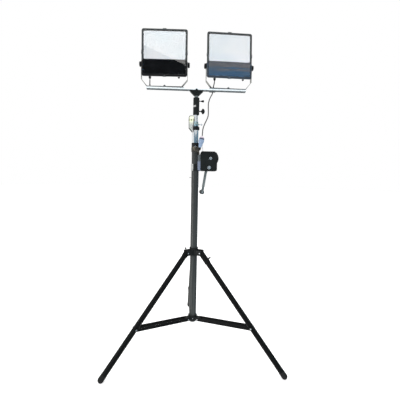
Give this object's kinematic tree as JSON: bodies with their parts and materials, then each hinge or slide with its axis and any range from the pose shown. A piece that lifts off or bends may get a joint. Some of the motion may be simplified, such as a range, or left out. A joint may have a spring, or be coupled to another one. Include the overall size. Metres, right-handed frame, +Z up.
{
  "type": "work light",
  "caption": "Wind-up tripod stand with a telescopic mast, hand winch and crossbar carrying LED floodlights on tilting yokes, with a lead and plug.",
  "frame": {"origin": "on the floor, below the centre of the stand's footprint; the mast's axis is 0.154 m in front of it (towards -Y)", "axes": "+Z up along the mast, +X to the right seen from the lit side, -Y the way the lamps face, +Y towards the single back leg"},
  "size_m": [1.1026, 0.96, 2.1094],
  "materials": {
    "mast_grey": "satin",
    "black_cast": "satin",
    "black_alloy": "painted black, satin",
    "black_plastic": "satin",
    "rubber": "matt",
    "chrome": "polished",
    "zinc": "zinc plated, bluish",
    "steel": "bright",
    "galvanised": "galvanised",
    "nylon": "cream",
    "arm_grey": "satin",
    "glass": "clear above, printed black below",
    "reflector": "white",
    "cable": "matt",
    "plug_blue": "satin"
  },
  "bodies": {
    "mast": {"outer_tube": "mast_grey", "base_hub": "black_alloy", "mast_collar": "black_cast", "winch_bracket": "steel", "winch_cover": "black_cast", "winch_back_plate": "black_cast", "lift_rope": "steel"},
    "drum": {"rope_drum": "steel", "drum_gear": "steel"},
    "crank": {"crank_shaft": "steel", "crank_arm": "arm_grey"},
    "grip": {"crank_grip": "black_plastic"},
    "lower_pulley": {"lower_pulley": "steel"},
    "middle_section": {"middle_tube": "chrome", "wiper_ring": "black_plastic", "middle_collar": "zinc", "pulley_bracket": "steel", "stage_rope": "steel"},
    "upper_pulley": {"upper_pulley": "nylon"},
    "plunger": {"lock_plunger": "chrome"},
    "inner_section": {"inner_tube": "chrome", "top_socket": "black_cast"},
    "spigot_screw": {"spigot_screw": "black_plastic"},
    "socket_knob": {"socket_knob": "black_plastic"},
    "head": {"crossbar": "galvanised", "spigot_adapter": "black_cast", "lead_junction": "black_plastic", "left_lead": "cable", "right_lead": "cable", "main_lead": "cable", "plug": "plug_blue"},
    "collar": {"leg_collar": "black_alloy"},
    "collar_knob": {"collar_knob": "black_plastic"},
    "left_leg": {"left_leg": "black_alloy", "left_foot": "rubber"},
    "back_leg": {"back_leg": "black_alloy", "back_foot": "rubber"},
    "level_sleeve": {"level_leg_sleeve": "black_alloy"},
    "level_tube": {"level_leg_tube": "black_alloy", "level_foot": "rubber"},
    "level_screw": {"level_screw": "black_plastic"},
    "left_brace": {"left_brace": "black_alloy"},
    "back_brace": {"back_brace": "black_alloy"},
    "level_brace": {"level_brace": "black_alloy"},
    "left_yoke": {"left_yoke": "black_cast"},
    "left_lamp": {"left_housing": "black_alloy", "left_reflector": "reflector", "left_glass": "glass", "left_bezel": "black_alloy"},
    "left_lamp_left_knob": {"left_lamp_left_knob": "black_plastic"},
    "left_lamp_right_knob": {"left_lamp_right_knob": "black_plastic"},
    "right_yoke": {"right_yoke": "black_cast"},
    "right_lamp": {"right_housing": "black_alloy", "right_reflector": "reflector", "right_glass": "glass", "right_bezel": "black_alloy"},
    "right_lamp_left_knob": {"right_lamp_left_knob": "black_plastic"},
    "right_lamp_right_knob": {"right_lamp_right_knob": "black_plastic"}
  },
  "joints": [
    {"name": "lift", "type": "slide", "parent": "mast", "child": "middle_section", "axis": [0, 0, 1], "range_m": [0, 0.85], "deforming": ["stage_rope"]},
    {"name": "stage", "type": "slide", "parent": "middle_section", "child": "inner_section", "axis": [0, 0, 1], "range_m": [0, 0.85]},
    {"name": "drum_spin", "type": "hinge", "parent": "mast", "child": "drum", "pos_m": [0.0981, -0.154, 1.3045], "axis": [0, -1, 0], "range_deg": [0, 2165.51]},
    {"name": "crank_turn", "type": "hinge", "parent": "mast", "child": "crank", "pos_m": [0.08971, -0.154, 1.24479], "axis": [0, 1, 0], "range_deg": [0, 4742.3]},
    {"name": "grip_spin", "type": "hinge", "parent": "crank", "child": "grip", "pos_m": [0.05306, -0.154, 1.08083], "axis": [0, 1, 0], "continuous": true},
    {"name": "lower_pulley_spin", "type": "hinge", "parent": "mast", "child": "lower_pulley", "pos_m": [0.0305, -0.154, 1.4185], "axis": [0, 1, 0], "range_deg": [0, 4510.39]},
    {"name": "upper_pulley_spin", "type": "hinge", "parent": "middle_section", "child": "upper_pulley", "pos_m": [-0.031, -0.154, 1.551], "axis": [0, -1, 0], "range_deg": [0, 3184.1]},
    {"name": "plunger_pull", "type": "slide", "parent": "middle_section", "child": "plunger", "axis": [1, 0, 0], "range_m": [0, 0.006], "stiffness_N_per_m": 800, "springref_m": -0.004},
    {"name": "spigot_screw_turn", "type": "hinge", "parent": "inner_section", "child": "spigot_screw", "pos_m": [0.0203, -0.154, 1.673], "axis": [1, 0, 0], "range_deg": [0, 720]},
    {"name": "socket_knob_turn", "type": "hinge", "parent": "inner_section", "child": "socket_knob", "pos_m": [0.0203, -0.154, 1.6083], "axis": [1, 0, 0], "range_deg": [0, 720]},
    {"name": "head_swivel", "type": "hinge", "parent": "inner_section", "child": "head", "pos_m": [0, -0.154, 1.66], "axis": [0, 0, 1], "range_deg": [-90, 90]},
    {"name": "collar_slide", "type": "slide", "parent": "mast", "child": "collar", "axis": [0, 0, 1], "range_m": [0, 0.462]},
    {"name": "collar_knob_turn", "type": "hinge", "parent": "collar", "child": "collar_knob", "pos_m": [-0.0541, -0.16029, 0.6973], "axis": [0, 0, 1], "range_deg": [0, 720]},
    {"name": "left_leg_fold", "type": "hinge", "parent": "collar", "child": "left_leg", "pos_m": [-0.04763, -0.1815, 0.68], "axis": [0.5, -0.866, 0], "range_deg": [0, 37.72]},
    {"name": "left_brace_fold", "type": "hinge", "parent": "mast", "child": "left_brace", "pos_m": [-0.03897, -0.1765, 0.2235], "axis": [-0.5, 0.866, 0], "range_deg": [0, 79.3]},
    {"name": "back_leg_fold", "type": "hinge", "parent": "collar", "child": "back_leg", "pos_m": [0, -0.099, 0.68], "axis": [-1, 0, 0], "range_deg": [0, 37.72]},
    {"name": "back_brace_fold", "type": "hinge", "parent": "mast", "child": "back_brace", "pos_m": [0, -0.109, 0.2235], "axis": [1, 0, 0], "range_deg": [0, 79.3]},
    {"name": "level_leg_fold", "type": "hinge", "parent": "collar", "child": "level_sleeve", "pos_m": [0.04763, -0.1815, 0.68], "axis": [0.5, 0.866, 0], "range_deg": [0, 37.72]},
    {"name": "level_brace_fold", "type": "hinge", "parent": "mast", "child": "level_brace", "pos_m": [0.03897, -0.1765, 0.2235], "axis": [-0.5, -0.866, 0], "range_deg": [0, 79.3]},
    {"name": "level_slide", "type": "slide", "parent": "level_sleeve", "child": "level_tube", "axis": [0.5592, -0.3229, -0.7636], "range_m": [0, 0.045]},
    {"name": "level_screw_turn", "type": "hinge", "parent": "level_sleeve", "child": "level_screw", "pos_m": [0.09772, -0.21042, 0.65033], "axis": [0.6613, -0.3818, 0.6457], "range_deg": [0, 720]},
    {"name": "left_yoke_swivel", "type": "hinge", "parent": "head", "child": "left_yoke", "pos_m": [-0.2067, -0.154, 1.7535], "axis": [0, 0, 1], "range_deg": [-45, 45]},
    {"name": "left_lamp_tilt", "type": "hinge", "parent": "left_yoke", "child": "left_lamp", "pos_m": [-0.2067, -0.154, 1.893], "axis": [0.9994, -0.0349, 0], "range_deg": [-75, 30], "deforming": ["left_lead"]},
    {"name": "left_lamp_left_knob_turn", "type": "hinge", "parent": "left_yoke", "child": "left_lamp_left_knob", "pos_m": [-0.35111, -0.14896, 1.893], "axis": [-0.9994, 0.0349, 0], "range_deg": [0, 720]},
    {"name": "left_lamp_right_knob_turn", "type": "hinge", "parent": "left_yoke", "child": "left_lamp_right_knob", "pos_m": [-0.06229, -0.15904, 1.893], "axis": [0.9994, -0.0349, 0], "range_deg": [0, 720]},
    {"name": "right_yoke_swivel", "type": "hinge", "parent": "head", "child": "right_yoke", "pos_m": [0.2067, -0.154, 1.7535], "axis": [0, 0, 1], "range_deg": [-45, 45]},
    {"name": "right_lamp_tilt", "type": "hinge", "parent": "right_yoke", "child": "right_lamp", "pos_m": [0.2067, -0.154, 1.893], "axis": [0.9997, 0.0262, 0], "range_deg": [-75, 30], "deforming": ["right_lead"]},
    {"name": "right_lamp_left_knob_turn", "type": "hinge", "parent": "right_yoke", "child": "right_lamp_left_knob", "pos_m": [0.06225, -0.15778, 1.893], "axis": [-0.9997, -0.0262, 0], "range_deg": [0, 720]},
    {"name": "right_lamp_right_knob_turn", "type": "hinge", "parent": "right_yoke", "child": "right_lamp_right_knob", "pos_m": [0.35115, -0.15022, 1.893], "axis": [0.9997, 0.0262, 0], "range_deg": [0, 720]}
  ],
  "couplings": [
    {"joint": "stage", "follows": "lift", "ratio": 1},
    {"joint": "drum_spin", "follows": "lift", "rad_per_m": 44.444},
    {"joint": "crank_turn", "follows": "lift", "rad_per_m": 97.355},
    {"joint": "lower_pulley_spin", "follows": "lift", "rad_per_m": 92.593},
    {"joint": "upper_pulley_spin", "follows": "lift", "rad_per_m": 65.359},
    {"joint": "left_leg_fold", "follows": "collar_slide", "rad_per_m": 1.4248},
    {"joint": "left_brace_fold", "follows": "collar_slide", "rad_per_m": 2.9955},
    {"joint": "back_leg_fold", "follows": "collar_slide", "rad_per_m": 1.4248},
    {"joint": "back_brace_fold", "follows": "collar_slide", "rad_per_m": 2.9955},
    {"joint": "level_leg_fold", "follows": "collar_slide", "rad_per_m": 1.4248},
    {"joint": "level_brace_fold", "follows": "collar_slide", "rad_per_m": 2.9955}
  ]
}
